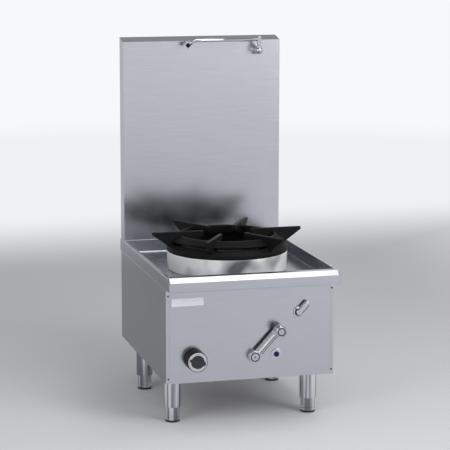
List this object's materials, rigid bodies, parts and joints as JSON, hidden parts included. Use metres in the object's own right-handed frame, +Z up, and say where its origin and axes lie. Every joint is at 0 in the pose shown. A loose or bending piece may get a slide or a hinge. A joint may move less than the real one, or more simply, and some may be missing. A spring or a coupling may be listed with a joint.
{
  "type": "gas stockpot range",
  "caption": "Low free-standing gas range for large pots: one burner under a raised cast trivet, spill tray, tall splashback with a swing spout, and front controls on adjustable legs.",
  "frame": {"origin": "on the floor, under the middle of the range's width and depth", "axes": "+X to the user's right, +Y to the rear, +Z up; the controls face -Y"},
  "size_m": [0.606, 0.8, 1.3035],
  "materials": {
    "satin_steel": "brushed stainless sheet",
    "bright_steel": "bright rolled stainless sheet",
    "frame_steel": "bare mill stainless",
    "tube_steel": "polished stainless tube",
    "zinc_steel": "zinc plated",
    "dark_steel": "blackened steel",
    "black_enamel_iron": "black enamelled casting",
    "grey_iron": "bare casting",
    "chrome_plate": "polished plating",
    "satin_aluminium": "satin",
    "brass": "machined",
    "copper": "drawn tube",
    "black_plastic": "moulded",
    "grey_plastic": "moulded",
    "blue_plastic": "moulded",
    "white_ceramic": "glazed",
    "black_rubber": "moulded"
  },
  "bodies": {
    "cabinet": {"air_shutter": "zinc_steel", "base_frame": "frame_steel", "burner": "grey_iron", "burner_supply_tube": "copper", "burner_supports": "frame_steel", "drum": "bright_steel", "frame_bolts": "zinc_steel", "front_panel": "satin_steel", "gas_inlet_pipe": "zinc_steel", "gas_valve": "brass", "hob_top": "bright_steel", "igniter_bezel": "chrome_plate", "igniter_body": "black_plastic", "ignition_electrode": "white_ceramic", "injector": "brass", "injector_holder": "frame_steel", "left_side_panel": "satin_steel", "leg_front_left": "tube_steel", "leg_front_right": "tube_steel", "leg_rear_left": "tube_steel", "leg_rear_right": "tube_steel", "lever_valve": "brass", "link_pipe": "copper", "mixing_tube": "grey_iron", "panel_screws": "dark_steel", "pilot_bracket": "frame_steel", "pilot_burner": "copper", "pipe_brackets": "frame_steel", "rear_panel": "satin_steel", "right_side_panel": "satin_steel", "riser_pipe": "copper", "splash_cover": "satin_steel", "splash_panel": "satin_steel", "spout_elbow": "chrome_plate", "tap_escutcheon": "chrome_plate", "tap_valve": "brass", "thermocouple": "frame_steel", "water_inlet_pipe": "copper"},
    "trivet": {"trivet": "black_enamel_iron"},
    "valve_plug": {"valve_plug": "brass"},
    "gas_knob": {"valve_spindle": "chrome_plate", "knob_body": "black_plastic", "knob_ring": "chrome_plate", "knob_grip": "grey_plastic"},
    "water_lever": {"lever_arm": "satin_aluminium", "lever_cap": "satin_aluminium", "lever_grip": "chrome_plate"},
    "tap_lever": {"tap_lever": "chrome_plate"},
    "igniter_button": {"igniter_button": "blue_plastic"},
    "spout": {"spout_tube": "chrome_plate", "spout_nozzle": "dark_steel"},
    "foot_front_left": {"foot_front_left": "tube_steel", "foot_pad_front_left": "black_rubber"},
    "foot_front_right": {"foot_front_right": "tube_steel", "foot_pad_front_right": "black_rubber"},
    "foot_rear_left": {"foot_rear_left": "tube_steel", "foot_pad_rear_left": "black_rubber"},
    "foot_rear_right": {"foot_rear_right": "tube_steel", "foot_pad_rear_right": "black_rubber"}
  },
  "joints": [
    {"name": "trivet_lift", "type": "slide", "parent": "cabinet", "child": "trivet", "axis": [0, 0, 1], "range_m": [0, 0.15]},
    {"name": "gas_valve_turn", "type": "hinge", "parent": "cabinet", "child": "valve_plug", "pos_m": [-0.2, -0.306, 0.25], "axis": [0, -1, 0], "range_deg": [0, 180]},
    {"name": "gas_knob_push", "type": "slide", "parent": "valve_plug", "child": "gas_knob", "axis": [0, 1, 0], "range_m": [0, 0.004], "stiffness_N_per_m": 1500, "springref_m": -0.003},
    {"name": "water_lever_turn", "type": "hinge", "parent": "cabinet", "child": "water_lever", "pos_m": [0.009, -0.355, 0.25], "axis": [0, -1, 0], "range_deg": [0, 90]},
    {"name": "tap_lever_turn", "type": "hinge", "parent": "cabinet", "child": "tap_lever", "pos_m": [0.17, -0.355, 0.396], "axis": [0, -1, 0], "range_deg": [0, 90]},
    {"name": "igniter_push", "type": "slide", "parent": "cabinet", "child": "igniter_button", "axis": [0, 1, 0], "range_m": [0, 0.004], "stiffness_N_per_m": 1500, "springref_m": -0.002},
    {"name": "spout_swing", "type": "hinge", "parent": "cabinet", "child": "spout", "pos_m": [0.205, 0.286, 1.252], "axis": [0, 0, 1], "range_deg": [0, 180]},
    {"name": "foot_front_left_adjust", "type": "slide", "parent": "cabinet", "child": "foot_front_left", "axis": [0, 0, -1], "range_m": [0, 0.025]},
    {"name": "foot_front_right_adjust", "type": "slide", "parent": "cabinet", "child": "foot_front_right", "axis": [0, 0, -1], "range_m": [0, 0.025]},
    {"name": "foot_rear_left_adjust", "type": "slide", "parent": "cabinet", "child": "foot_rear_left", "axis": [0, 0, -1], "range_m": [0, 0.025]},
    {"name": "foot_rear_right_adjust", "type": "slide", "parent": "cabinet", "child": "foot_rear_right", "axis": [0, 0, -1], "range_m": [0, 0.025]}
  ]
}
